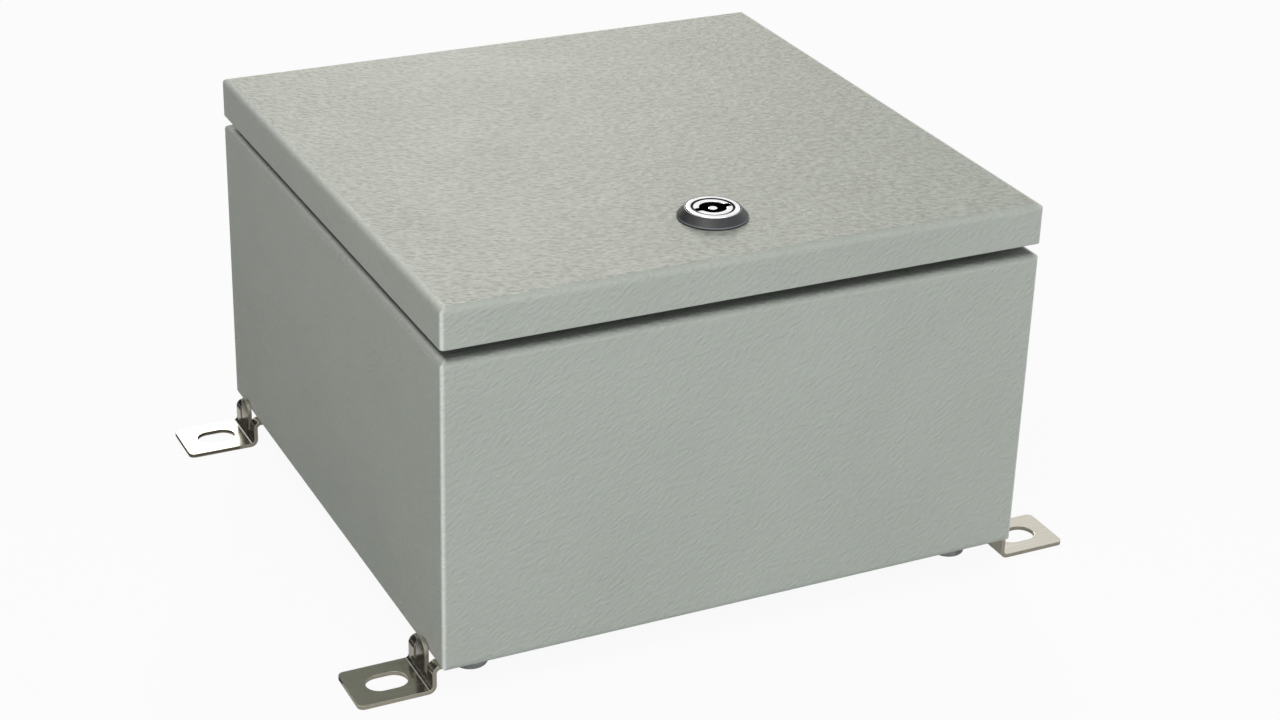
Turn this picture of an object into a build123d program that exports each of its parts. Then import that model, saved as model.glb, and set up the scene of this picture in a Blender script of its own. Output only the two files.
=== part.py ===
from build123d import *
import os
from math import pi, sqrt

# Wall-mounting electrical enclosure of folded sheet steel, lying on its back with the door up.
# Millimetres. X runs along the lock side, Y from the lock side to the hinge side, Z from wall to door.
# The origin is the middle of the wall plane, on which the four brackets stand.

# Box
box_width = 300.0             # along X
box_depth = 300.0             # along Y
box_height = 180.0            # outer face of the back to outer face of the door
box_standoff = 14.0           # wall plane to the back
sheet = 1.5                   # steel sheet of body and door
fold_radius = 3.6             # outer radius of the folds round the back, the shelf and the door's face
corner_radius = 2.3           # outer radius of the upright corners
cut_overrun = 2.0             # how far a cut runs past the face that it opens

# Door and rim
door_skirt = 20.0             # height of the door pan
door_gap = 5.0                # open gap between the door's skirt and the rim's shelf
hem_radius = 0.5              # rounding of the skirt's lower edge
lip_inset = 16.0              # outer face of the box to outer face of the lip
gasket_width = 11.0
gasket_height = 8.0
gasket_round = 2.0
seal_gap = 0.3                # between the lip's top and the gasket

# Wall brackets
bracket_sheet = 2.0
bracket_width = 30.0
bracket_bend = 2.0            # inner bend radius
bracket_inset = 22.0          # side of the box to the fixing bolt, along X and Y
bracket_reach = 35.0          # riser's outer face to the foot's outer edge
bracket_side_gap = 0.3        # between the box's side and the riser
bracket_end_margin = 12.0     # bolt to the inner end of the bracket
bracket_corner = 3.0
wall_slot_length = 20.0
wall_slot_width = 13.5
wall_slot_margin = 18.6       # slot's middle to the foot's outer edge
tab_width = 11.0
tab_rise = 6.0                # how far the tab stands above the back of the box
tab_corner = 5.0
tab_slit = 3.0
tab_slit_drop = 4.0           # how far the slits run down the riser

# Bracket bolts
bracket_bolt_diameter = 10.0
bracket_bolt_head = 16.4
bracket_bolt_head_height = 9.2
bracket_bolt_end = 1.5        # thread standing out of the nut
bracket_bolt_socket = 8.0     # across flats
bracket_bolt_socket_depth = 4.0
bracket_nut_flats = 16.0
bracket_nut_height = 8.0
bracket_seal_diameter = 22.0
bracket_seal_thickness = 1.5
hole_clearance = 0.5          # added to a diameter that a bolt or stud passes through
thread_clearance = 0.1        # added to a diameter that a nut or thread turns on
nut_bevel_share = 0.2         # most of a nut's height that each of its bevels takes

# Mounting plate and its studs
plate_margin_x = 25.0         # outer face of the box's sides to the plate's edges
plate_margin_y = 25.0         # outer faces of the lock and hinge sides to the plate's edges
plate_sheet = 2.0
plate_corner_cut = 15.0
stud_inset = 22.0             # edge of the plate to the stud
stud_diameter = 8.0
stud_foot_diameter = 11.0
stud_foot_height = 1.0
stud_end = 2.5                # thread standing out of the nut
spacer_diameter = 14.0
spacer_height = 12.0
washer_diameter = 16.0
washer_thickness = 1.6
nut_flats = 13.0
nut_height = 6.5

# Earthing points
earth_diameter = 6.0
earth_length = 18.0
earth_foot_diameter = 9.0
earth_foot_height = 0.8
earth_washer_diameter = 12.0
earth_washer_thickness = 1.6
earth_nut_flats = 10.0
earth_nut_height = 5.0
earth_wall_inset = 13.0       # outer face of the hinge side to the body's stud
earth_door_inset = 50.0       # outer face of the hinge side to the door's stud

# Hinges
hinge_skirt_gap = 0.4         # inner face of the door's skirt to the knuckles
hinge_pin_diameter = 3.0
hinge_pin_clearance = 0.05    # radial
hinge_pin_head = 4.6
hinge_pin_head_length = 1.5
hinge_knuckle = 6.2           # knuckle diameter
hinge_leaf = 2.0              # leaf thickness
hinge_length = 44.0
hinge_knuckle_gap = 0.3
hinge_door_knuckle_share = 0.4
hinge_side_inset = 60.0       # side of the box to the hinge's middle
hinge_leaf_foot = 2.0         # rim's shelf to the leaf's lower edge
hinge_gasket_gap = 2.35       # gasket to the flange of the door leaf
rivet_diameter = 4.0
rivet_head = 7.0
rivet_head_height = 1.4
rivet_tail_height = 1.0
rivet_margin = 0.55           # rivet's head to the leaf's edge and arm
rivet_spacing_share = 0.6     # of the hinge's length

# Lock
lock_inset = 44.5             # outer face of the lock side to the lock's axis
bezel_flare = 4.0             # bright ring to the bezel's outer edge
bezel_rim = 1.0               # height of the upright rim at the bezel's foot
bezel_floor = 1.2
bezel_top_drop = 0.3          # bezel's top edge below the lock's face
bezel_wall = 1.0              # land outside the seal
lock_rise = 5.0               # outer face of the door to the lock's face
lock_ring_flange = 1.5        # how far the bright ring stands out round the barrel
lock_barrel_wall = 1.25       # round the rotor's bore
lock_seal_thickness = 1.0
lock_nut_wall = 2.5           # barrel to the nut's flats
lock_nut_height = 5.0
lock_clearance = 0.2          # radial, between the lock's fixed pieces
rotor_diameter = 18.7
rotor_gap = 0.4               # radial, the dark ring round the rotor
rotor_height = 8.0
rotor_drop = 0.2              # rotor's face below the lock's face
rotor_shaft = 12.0
shaft_clearance = 0.05        # radial
rotor_float = 0.3             # end play of the rotor
key_diameter = 12.8
key_depth = 5.0
key_pin = 4.0
key_pin_drop = 0.4
key_bit_width = 3.6
key_bit_wall = 0.5            # ends of the key's bits to the rotor's edge
cam_square = 8.0
cam_clearance = 0.1
cam_sheet = 3.0
cam_width = 16.0
cam_hub = 20.0
cam_overlap = 10.0            # how far the turned cam reaches under the shelf
cam_gap = 0.7                 # shelf's underside to the cam
cam_corner = 3.0
cam_washer_diameter = 14.0
cam_washer_thickness = 1.2
cam_screw_diameter = 6.0
cam_screw_depth = 9.0         # thread in the rotor
cam_screw_head = 10.0
cam_screw_head_height = 4.0
cam_screw_slot = 1.6
cam_screw_slot_depth = 1.5

# Heights and places that follow
back_z = box_standoff
floor_z = back_z + sheet
door_z = back_z + box_height
door_under_z = door_z - sheet
skirt_z = door_z - door_skirt
shelf_z = skirt_z - door_gap
shelf_under_z = shelf_z - sheet
lip_z = door_under_z - gasket_height - seal_gap
side_x = box_width / 2
side_y = box_depth / 2
lip_y = side_y - lip_inset
inner_fold = fold_radius - sheet
inner_corner = corner_radius - sheet
gasket_out_y = lip_y - sheet / 2 + gasket_width / 2
riser_in_x = side_x + bracket_side_gap
riser_out_x = riser_in_x + bracket_sheet
foot_x = riser_out_x + bracket_reach
bolt_x = side_x - bracket_inset
bolt_y = side_y - bracket_inset
bolt_hole = bracket_bolt_diameter + hole_clearance
plate_width = box_width - 2 * plate_margin_x
plate_depth = box_depth - 2 * plate_margin_y
stud_x = plate_width / 2 - stud_inset
stud_y = plate_depth / 2 - stud_inset
plate_z = floor_z + spacer_height
knuckle_radius = hinge_knuckle / 2
rivet_z = shelf_z + hinge_leaf_foot + rivet_margin + rivet_head / 2
hinge_arm_z = rivet_z + rivet_head / 2 + rivet_margin + hinge_leaf
hinge_x = side_x - hinge_side_inset
hinge_y = side_y - sheet - hinge_skirt_gap - knuckle_radius
hinge_z = hinge_arm_z - knuckle_radius
lock_y = lock_inset - side_y
lock_z = door_z + lock_rise
cam_z = shelf_under_z - cam_gap
housing_z = cam_z + rotor_float
ring_z = door_z + lock_seal_thickness + bezel_floor
rotor_bore = rotor_diameter + 2 * rotor_gap
lock_barrel = rotor_bore + 2 * lock_barrel_wall
lock_ring = lock_barrel + 2 * lock_ring_flange
lock_nut_flats = lock_barrel + 2 * lock_nut_wall
bezel_diameter = lock_ring + 2 * bezel_flare
key_bit_span = rotor_diameter - 2 * key_bit_wall


# Shared shapes
def block(x_low, x_high, y_low, y_high, z_low, z_high):
    middle = Pos((x_low + x_high) / 2, (y_low + y_high) / 2, (z_low + z_high) / 2)
    return middle * Box(x_high - x_low, y_high - y_low, z_high - z_low)


def rod(diameter, z_low, z_high):
    return Pos(0, 0, z_low) * extrude(Circle(diameter / 2), z_high - z_low)


def tube(outer, bore, z_low, z_high):
    return rod(outer, z_low, z_high) - rod(bore, z_low - cut_overrun, z_high + cut_overrun)


def rounded_column(size_x, size_y, radius, z_low, z_high):
    return Pos(0, 0, z_low) * extrude(RectangleRounded(size_x, size_y, radius), z_high - z_low)


# Block with rounded upright corners, folded over at its top and, with no drop, also at its bottom
def folded_block(size_x, size_y, corner, fold, fold_drop, z_low, z_high):
    height = z_high - z_low + fold_drop
    middle = Pos(0, 0, z_high - height / 2)
    front = Plane.XZ * extrude(RectangleRounded(size_x, height, fold), size_y / 2 + cut_overrun, both=True)
    side = Plane.YZ * extrude(RectangleRounded(size_y, height, fold), size_x / 2 + cut_overrun, both=True)
    column = rounded_column(size_x, size_y, corner, z_low, z_high)
    return column & (middle * front) & (middle * side)


def hex_nut(flats, height, bore, z_low):
    point_radius = flats / sqrt(3)
    prism = extrude(RegularPolygon(point_radius, 6), height)
    turned = extrude(Circle(point_radius), height)
    turned = chamfer(turned.edges(), min(point_radius - flats / 2, height * nut_bevel_share))
    return Pos(0, 0, z_low) * (prism & turned) - rod(bore, z_low - cut_overrun, z_low + height + cut_overrun)


def four_places(x, y):
    return [(sign_x * x, sign_y * y) for sign_x in (-1, 1) for sign_y in (-1, 1)]


def group(shape, places):
    return Compound(children=[Pos(x, y, 0) * shape for x, y in places])


# Body: one folded and welded sheet shell, with a shelf folded in and a lip turned up round the mouth
def body_shell():
    outer = folded_block(box_width, box_depth, corner_radius, fold_radius, 0, back_z, shelf_z)
    inner_x = box_width - 2 * sheet
    inner_y = box_depth - 2 * sheet
    inner = folded_block(inner_x, inner_y, inner_corner, inner_fold, 0, floor_z, shelf_under_z)
    lip_size_x = box_width - 2 * lip_inset
    lip_size_y = box_depth - 2 * lip_inset
    lip = rounded_column(lip_size_x, lip_size_y, corner_radius, shelf_under_z, lip_z)
    mouth_x = lip_size_x - 2 * sheet
    mouth_y = lip_size_y - 2 * sheet
    mouth = rounded_column(mouth_x, mouth_y, inner_corner, shelf_under_z - cut_overrun, lip_z + cut_overrun)
    shell = outer - inner + lip - mouth
    hole = rod(bolt_hole, back_z - cut_overrun, floor_z + cut_overrun)
    for x, y in four_places(bolt_x, bolt_y):
        shell -= Pos(x, y, 0) * hole
    for x, z in rivet_places():
        shell -= Pos(x, 0, z) * rivet_hole()
    return shell


# Wall bracket: bent strip with a slotted foot, a riser, and a flange under the box.
# The middle of its upper bend is left upright as a tab that keeps the bracket square to the box's side.
def wall_bracket():
    half = bracket_sheet / 2
    riser_mid_x = riser_in_x + half
    flange_end_x = bolt_x - bracket_end_margin
    path = Plane.XZ * FilletPolyline(
        (foot_x, half),
        (riser_mid_x, half),
        (riser_mid_x, back_z - half),
        (flange_end_x, back_z - half),
        radius=bracket_bend + half,
    )
    section = Plane(path @ 0, x_dir=(0, 1, 0), z_dir=path % 0) * Rectangle(bracket_width, bracket_sheet)
    bracket = sweep(section, path)
    upright = bracket.edges().filter_by(Axis.Z).group_by(Axis.X)
    bracket = fillet(upright[0] + upright[-1], bracket_corner)

    slot = extrude(SlotOverall(wall_slot_length, wall_slot_width), bracket_sheet + cut_overrun, both=True)
    bracket -= Pos(foot_x - wall_slot_margin, 0, 0) * slot
    hole = rod(bolt_hole, back_z - bracket_sheet - cut_overrun, back_z + cut_overrun)
    bracket -= Pos(bolt_x, 0, 0) * hole

    bend_radius = bracket_bend + bracket_sheet
    bend_z = back_z - bend_radius
    tab_z = back_z + tab_rise
    window_flat = tab_z - bend_z - (bracket_bend + half) * pi / 2
    window_x = riser_out_x - bend_radius - window_flat
    tab_y = tab_width / 2
    slit_y = tab_y + tab_slit
    bracket -= block(window_x, riser_out_x + cut_overrun, -slit_y, slit_y, bend_z, back_z + cut_overrun)
    slit_z = bend_z - tab_slit_drop
    slit_x = (riser_in_x - cut_overrun, riser_out_x + cut_overrun)
    for low, high in ((-slit_y, -tab_y), (tab_y, slit_y)):
        bracket -= block(*slit_x, low, high, slit_z, bend_z + cut_overrun)
    tab = block(riser_in_x, riser_out_x, -tab_y, tab_y, bend_z, tab_z)
    tab = fillet(tab.edges().filter_by(Axis.X).group_by(Axis.Z)[-1], tab_corner)
    return Pos(0, bolt_y, 0) * (bracket + tab)


# Bracket fixing: round-headed bolt from outside, sealing washer and nut inside
bracket_nut_z = floor_z + bracket_seal_thickness


def bracket_bolt():
    under_head_z = back_z - bracket_sheet
    head_z = under_head_z - bracket_bolt_head_height
    end_z = bracket_nut_z + bracket_nut_height + bracket_bolt_end
    socket_radius = bracket_bolt_socket / sqrt(3)
    socket = extrude(RegularPolygon(socket_radius, 6), bracket_bolt_socket_depth + cut_overrun)
    bolt = rod(bracket_bolt_head, head_z, under_head_z) + rod(bracket_bolt_diameter, head_z, end_z)
    return bolt - Pos(0, 0, head_z - cut_overrun) * socket


def bracket_seal():
    return tube(bracket_seal_diameter, bolt_hole, floor_z, bracket_nut_z)


def bracket_nut():
    bore = bracket_bolt_diameter + thread_clearance
    return hex_nut(bracket_nut_flats, bracket_nut_height, bore, bracket_nut_z)


# Mounting plate on four welded studs, each with a spacer, a washer and a nut
plate_washer_z = plate_z + plate_sheet
plate_nut_z = plate_washer_z + washer_thickness


def mounting_plate():
    outline = chamfer(Rectangle(plate_width, plate_depth).vertices(), plate_corner_cut)
    plate = Pos(0, 0, plate_z) * extrude(outline, plate_sheet)
    hole = rod(stud_diameter + hole_clearance, plate_z - cut_overrun, plate_washer_z + cut_overrun)
    for x, y in four_places(stud_x, stud_y):
        plate -= Pos(x, y, 0) * hole
    return plate


def plate_stud():
    end_z = plate_nut_z + nut_height + stud_end
    foot = rod(stud_foot_diameter, floor_z, floor_z + stud_foot_height)
    return foot + rod(stud_diameter, floor_z, end_z)


def plate_spacer():
    spacer = tube(spacer_diameter, stud_diameter + hole_clearance, floor_z, plate_z)
    recess = stud_foot_diameter + hole_clearance
    return spacer - rod(recess, floor_z - cut_overrun, floor_z + stud_foot_height)


def plate_washer():
    return tube(washer_diameter, stud_diameter + hole_clearance, plate_washer_z, plate_nut_z)


def plate_nut():
    return hex_nut(nut_flats, nut_height, stud_diameter + thread_clearance, plate_nut_z)


# Earthing point: welded stud with a washer and a nut, drawn standing up from height zero
def earth_stud():
    return rod(earth_foot_diameter, 0, earth_foot_height) + rod(earth_diameter, 0, earth_length)


def earth_washer():
    top = earth_foot_height + earth_washer_thickness
    return tube(earth_washer_diameter, earth_diameter + hole_clearance, earth_foot_height, top)


def earth_nut():
    seat = earth_foot_height + earth_washer_thickness
    return hex_nut(earth_nut_flats, earth_nut_height, earth_diameter + thread_clearance, seat)


# Hinge: three knuckles on one pin, the outer two on the body's leaf and the middle one on the door's
door_knuckle = hinge_length * hinge_door_knuckle_share


def along_x(diameter, x_low, x_high):
    return Pos(x_low, hinge_y, hinge_z) * (Plane.YZ * extrude(Circle(diameter / 2), x_high - x_low))


def pin_bore():
    end = hinge_length / 2 + cut_overrun
    return along_x(hinge_pin_diameter + 2 * hinge_pin_clearance, -end, end)


def rivet_places():
    half = hinge_length * rivet_spacing_share / 2
    return [(side * hinge_x + step, rivet_z) for side in (-1, 1) for step in (-half, half)]


def rivet_hole():
    depth = sheet + hinge_leaf + 2 * cut_overrun
    return Pos(0, lip_y - sheet - cut_overrun, 0) * (Plane.XZ * extrude(Circle(rivet_diameter / 2), -depth))


def body_hinge_leaf():
    half = hinge_length / 2
    leaf = block(-half, half, lip_y, lip_y + hinge_leaf, shelf_z + hinge_leaf_foot, hinge_arm_z)
    knuckle_start = door_knuckle / 2 + hinge_knuckle_gap
    for low, high in ((-half, -knuckle_start), (knuckle_start, half)):
        leaf += block(low, high, lip_y, hinge_y, hinge_arm_z - hinge_leaf, hinge_arm_z)
        leaf += along_x(hinge_knuckle, low, high)
    leaf -= pin_bore()
    for x, z in rivet_places()[:2]:
        leaf -= Pos(x + hinge_x, 0, z) * rivet_hole()
    return leaf


def hinge_rivet():
    shank = sheet + hinge_leaf
    rivet = extrude(Circle(rivet_diameter / 2), shank)
    head = extrude(Circle(rivet_head / 2), rivet_head_height)
    head = fillet(head.edges().sort_by(Axis.Z)[-1], rivet_head_height / 2)
    rivet += Pos(0, 0, shank) * head
    rivet += Pos(0, 0, -rivet_tail_height) * extrude(Circle(rivet_head / 2), rivet_tail_height)
    return Pos(0, lip_y - sheet, 0) * (Rot(X=-90) * rivet)


def door_hinge_leaf():
    half = door_knuckle / 2
    outer_y = hinge_y + knuckle_radius
    leaf = block(-half, half, outer_y - hinge_leaf, outer_y, hinge_z, door_under_z)
    flange_y = gasket_out_y + hinge_gasket_gap
    leaf += block(-half, half, flange_y, outer_y, door_under_z - hinge_leaf, door_under_z)
    bend = leaf.edges().filter_by(Axis.X).sort_by(lambda edge: edge.center().Y + edge.center().Z)[-1]
    leaf = fillet(bend, inner_fold + hinge_leaf / 2)
    leaf += along_x(hinge_knuckle, -half, half)
    return leaf - pin_bore()


def hinge_pin():
    end = hinge_length / 2
    return along_x(hinge_pin_diameter, -end, end) + along_x(hinge_pin_head, end, end + hinge_pin_head_length)


# Door: one folded and welded pan with the lock's hole
def door_panel():
    outer = folded_block(box_width, box_depth, corner_radius, fold_radius, fold_radius, skirt_z, door_z)
    inner_x = box_width - 2 * sheet
    inner_y = box_depth - 2 * sheet
    inner_z = skirt_z - cut_overrun
    pan = outer - folded_block(inner_x, inner_y, inner_corner, inner_fold, inner_fold, inner_z, door_under_z)
    pan = fillet(pan.faces().sort_by(Axis.Z)[0].edges(), hem_radius)
    hole = rod(lock_barrel + hole_clearance, door_under_z - cut_overrun, door_z + cut_overrun)
    return pan - Pos(0, lock_y, 0) * hole


# Gasket: foamed ring under the door, over the lip
def door_gasket():
    middle_x = box_width - 2 * lip_inset - sheet
    middle_y = box_depth - 2 * lip_inset - sheet
    low_z = door_under_z - gasket_height
    outer_x = middle_x + gasket_width
    outer_y = middle_y + gasket_width
    inner_x = middle_x - gasket_width
    inner_y = middle_y - gasket_width
    ring = rounded_column(outer_x, outer_y, corner_radius + gasket_width, low_z, door_under_z)
    ring -= rounded_column(inner_x, inner_y, corner_radius, low_z - cut_overrun, door_under_z + cut_overrun)
    return fillet(ring.faces().sort_by(Axis.Z)[0].edges(), gasket_round)


# Lock: pieces that are fixed in the door
def lock_bezel():
    foot = bezel_diameter / 2
    seal_edge = foot - bezel_wall
    top = lock_ring / 2 + lock_clearance
    top_edge = top + bezel_wall / 2
    barrel = lock_barrel / 2 + lock_clearance
    seal_top = door_z + lock_seal_thickness
    outline = Plane.XZ * make_face(
        Polyline(
            (seal_edge, door_z),
            (foot, door_z),
            (foot, door_z + bezel_rim),
            (top_edge, lock_z - bezel_top_drop),
            (top, lock_z - bezel_top_drop),
            (top, ring_z),
            (barrel, ring_z),
            (barrel, seal_top),
            (seal_edge, seal_top),
            close=True,
        )
    )
    return revolve(outline, Axis.Z)


def lock_seal():
    outer = bezel_diameter - 2 * (bezel_wall + lock_clearance)
    return tube(outer, lock_barrel + 2 * lock_clearance, door_z, door_z + lock_seal_thickness)


def lock_housing():
    rotor_seat_z = lock_z - rotor_drop - rotor_height - rotor_float
    housing = rod(lock_ring, ring_z, lock_z) + rod(lock_barrel, housing_z, ring_z)
    housing -= rod(rotor_bore, rotor_seat_z, lock_z + cut_overrun)
    shaft_bore = rotor_shaft + 2 * shaft_clearance
    return housing - rod(shaft_bore, housing_z - cut_overrun, rotor_seat_z + cut_overrun)


def lock_nut():
    seat_z = door_under_z - lock_nut_height
    return hex_nut(lock_nut_flats, lock_nut_height, lock_barrel + thread_clearance, seat_z)


# Lock: pieces that turn with the key; at rest the cam points along X, clear of the rim
cam_under_z = cam_z - cam_sheet
cam_reach = lip_inset + sheet
cam_length = lock_inset - cam_reach + cam_overlap


def lock_rotor():
    face_z = lock_z - rotor_drop
    rotor = rod(rotor_diameter, face_z - rotor_height, face_z) + rod(rotor_shaft, cam_z, face_z)
    rotor += Pos(0, 0, cam_under_z) * extrude(Rectangle(cam_square, cam_square), cam_sheet)
    keyhole = Circle(key_diameter / 2) + Rectangle(key_bit_span, key_bit_width)
    rotor -= Pos(0, 0, face_z - key_depth) * extrude(keyhole, key_depth + cut_overrun)
    rotor += rod(key_pin, face_z - key_depth, face_z - key_pin_drop)
    screw_hole = cam_screw_diameter + thread_clearance
    return rotor - rod(screw_hole, cam_under_z - cut_overrun, cam_under_z + cam_screw_depth + cut_overrun)


def lock_cam():
    blade = Pos(cam_length / 2, 0) * Rectangle(cam_length, cam_width)
    blade = fillet(blade.vertices().group_by(Axis.X)[-1], cam_corner)
    hole = cam_square + 2 * cam_clearance
    outline = blade + Circle(cam_hub / 2) - Rectangle(hole, hole)
    return Pos(0, 0, cam_under_z) * extrude(outline, cam_sheet)


def cam_washer():
    bore = cam_screw_diameter + hole_clearance
    return tube(cam_washer_diameter, bore, cam_under_z - cam_washer_thickness, cam_under_z)


def cam_screw():
    seat_z = cam_under_z - cam_washer_thickness
    head_z = seat_z - cam_screw_head_height
    end_z = cam_under_z + cam_screw_depth
    screw = rod(cam_screw_head, head_z, seat_z) + rod(cam_screw_diameter, seat_z, end_z)
    half = cam_screw_head / 2 + cut_overrun
    slot = cam_screw_slot / 2
    return screw - block(-half, half, -slot, slot, head_z - cut_overrun, head_z + cam_screw_slot_depth)


# Assembly
at_lock = Pos(0, lock_y, 0)
at_body_earth = Pos(0, side_y - earth_wall_inset, floor_z)
at_door_earth = Pos(0, side_y - earth_door_inset, door_under_z) * Rot(X=180)
bracket = wall_bracket()
bracket_right_front = mirror(bracket, about=Plane.XZ)

parts = {
    "body_shell": body_shell(),
    "bracket_rear_right": bracket,
    "bracket_rear_left": mirror(bracket, about=Plane.YZ),
    "bracket_front_right": bracket_right_front,
    "bracket_front_left": mirror(bracket_right_front, about=Plane.YZ),
    "bracket_bolts": group(bracket_bolt(), four_places(bolt_x, bolt_y)),
    "bracket_seals": group(bracket_seal(), four_places(bolt_x, bolt_y)),
    "bracket_nuts": group(bracket_nut(), four_places(bolt_x, bolt_y)),
    "mounting_plate": mounting_plate(),
    "plate_studs": group(plate_stud(), four_places(stud_x, stud_y)),
    "plate_spacers": group(plate_spacer(), four_places(stud_x, stud_y)),
    "plate_washers": group(plate_washer(), four_places(stud_x, stud_y)),
    "plate_nuts": group(plate_nut(), four_places(stud_x, stud_y)),
    "body_earth_stud": at_body_earth * earth_stud(),
    "body_earth_washer": at_body_earth * earth_washer(),
    "body_earth_nut": at_body_earth * earth_nut(),
    "hinge_rivets": Compound(children=[Pos(x, 0, z) * hinge_rivet() for x, z in rivet_places()]),
    "door_panel": door_panel(),
    "door_gasket": door_gasket(),
    "door_earth_stud": at_door_earth * earth_stud(),
    "door_earth_washer": at_door_earth * earth_washer(),
    "door_earth_nut": at_door_earth * earth_nut(),
    "lock_bezel": at_lock * lock_bezel(),
    "lock_seal": at_lock * lock_seal(),
    "lock_housing": at_lock * lock_housing(),
    "lock_nut": at_lock * lock_nut(),
    "lock_rotor": at_lock * lock_rotor(),
    "lock_cam": at_lock * lock_cam(),
    "cam_washer": at_lock * cam_washer(),
    "cam_screw": at_lock * cam_screw(),
}
for side, x in (("left", -hinge_x), ("right", hinge_x)):
    parts["body_hinge_leaf_" + side] = Pos(x, 0, 0) * body_hinge_leaf()
    parts["door_hinge_leaf_" + side] = Pos(x, 0, 0) * door_hinge_leaf()
    parts["hinge_pin_" + side] = Pos(x, 0, 0) * hinge_pin()

os.makedirs("parts", exist_ok=True)
for name, shape in parts.items():
    export_step(shape, "parts/" + name + ".step")
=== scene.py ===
import bmesh
import bpy
import math
from mathutils import Matrix, Vector


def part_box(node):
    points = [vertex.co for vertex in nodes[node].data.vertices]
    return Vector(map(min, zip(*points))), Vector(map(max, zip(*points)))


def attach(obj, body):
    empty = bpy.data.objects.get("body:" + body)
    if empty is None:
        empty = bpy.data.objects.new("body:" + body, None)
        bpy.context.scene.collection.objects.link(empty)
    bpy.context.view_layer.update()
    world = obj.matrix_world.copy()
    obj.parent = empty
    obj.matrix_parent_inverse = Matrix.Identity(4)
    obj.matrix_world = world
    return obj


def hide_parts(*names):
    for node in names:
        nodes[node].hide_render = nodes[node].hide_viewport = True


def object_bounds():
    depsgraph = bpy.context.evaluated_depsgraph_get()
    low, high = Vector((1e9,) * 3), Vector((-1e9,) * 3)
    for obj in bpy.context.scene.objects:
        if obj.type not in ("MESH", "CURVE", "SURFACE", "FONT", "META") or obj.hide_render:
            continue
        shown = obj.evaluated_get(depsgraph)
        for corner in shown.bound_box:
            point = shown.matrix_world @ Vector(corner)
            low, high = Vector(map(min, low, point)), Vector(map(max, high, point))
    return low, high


# Wall-mounting electrical enclosure of folded sheet steel, lying on its back with the door up.
# Metres, in the part's own frame: the wall plane is at height zero and the lock side faces -Y.
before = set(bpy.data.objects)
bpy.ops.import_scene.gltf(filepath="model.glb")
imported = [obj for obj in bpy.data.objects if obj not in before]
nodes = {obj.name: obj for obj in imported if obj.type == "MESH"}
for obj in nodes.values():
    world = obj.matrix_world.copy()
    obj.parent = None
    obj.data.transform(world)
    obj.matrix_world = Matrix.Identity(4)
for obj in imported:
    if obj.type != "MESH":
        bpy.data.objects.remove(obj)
cad_low, cad_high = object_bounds()


# Body: the box of 1.5 mm sheet steel, cut and folded from a blank and welded at its corners, with a shelf
# and an upturned lip round the mouth. Its light grey powder coat keeps a fine hammered grain and is thin and
# glossy over the folds. Its colour carries a painted highlight along the folds, most of all the upright ones,
# and painted shade on its faces that face up, the shelf in the door's gap most of all.
coat_dark = (178, 183, 175)
coat_light = (181, 186, 178)
# A painted highlight along the folds, with shares for the folds along X, Y and Z.
painted_fold_highlight = (228, 232, 226)
painted_fold_highlight_shares = (0.0, 0.65, 1.0)
coat_patch = 0.045
coat_grain = 0.0018
coat_grain_stretch = (4, 1, 1)
coat_grain_turn = (0, -0.48, -0.49)
coat_grain_detail = 1
coat_fine_grain = 0.0010
coat_fine_detail = 2
coat_fine_share = 0.40
coat_relief = 0.00024
coat_roughness = (0.555, 0.585)
coat_fold_roughness = 0.30
# Painted shade on the body's faces that face up, the shelf in the door's gap most of all.
dust_and_shade_narrowness = 1.5
painted_shelf_shade = (84, 85, 80)
painted_shelf_shade_shares = (0.65, 0.75)
painted_shelf_shade_rise = 0.25
fold_radius = 0.0036
corner_radius = 0.0023
shelf_height = 0.169


def screen_colour(red, green, blue):
    """A colour written as it looks on a screen, from 0 to 255, in the shader's own numbers."""
    shares = [value / 255 for value in (red, green, blue)]
    return [s / 12.92 if s < 0.04045 else ((s + 0.055) / 1.055) ** 2.4 for s in shares] + [1]


def effect(name, inputs, output):
    """An empty shader node group with named inputs and one output, and its two end nodes."""
    group = bpy.data.node_groups.new(name, "ShaderNodeTree")
    for label, kind, value in inputs:
        socket = group.interface.new_socket(label, in_out="INPUT", socket_type=kind)
        socket.default_value = value
    group.interface.new_socket(output, in_out="OUTPUT", socket_type="NodeSocketFloat")
    return group, group.nodes.new("NodeGroupInput"), group.nodes.new("NodeGroupOutput")


def add_node(tree, kind, inputs=None, **settings):
    """A node with its settings; each of its inputs is given a value or is linked to an output."""
    made = tree.nodes.new(kind)
    for key, value in settings.items():
        setattr(made, key, value)
    for label, given in (inputs or {}).items():
        if isinstance(given, bpy.types.NodeSocket):
            tree.links.new(given, made.inputs[label])
        else:
            made.inputs[label].default_value = given
    return made


def calculate(tree, operation, first, second, clamp=False):
    """The result of a sum on two values or outputs."""
    made = add_node(tree, "ShaderNodeMath", {0: first, 1: second}, operation=operation, use_clamp=clamp)
    return made.outputs[0]


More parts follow.
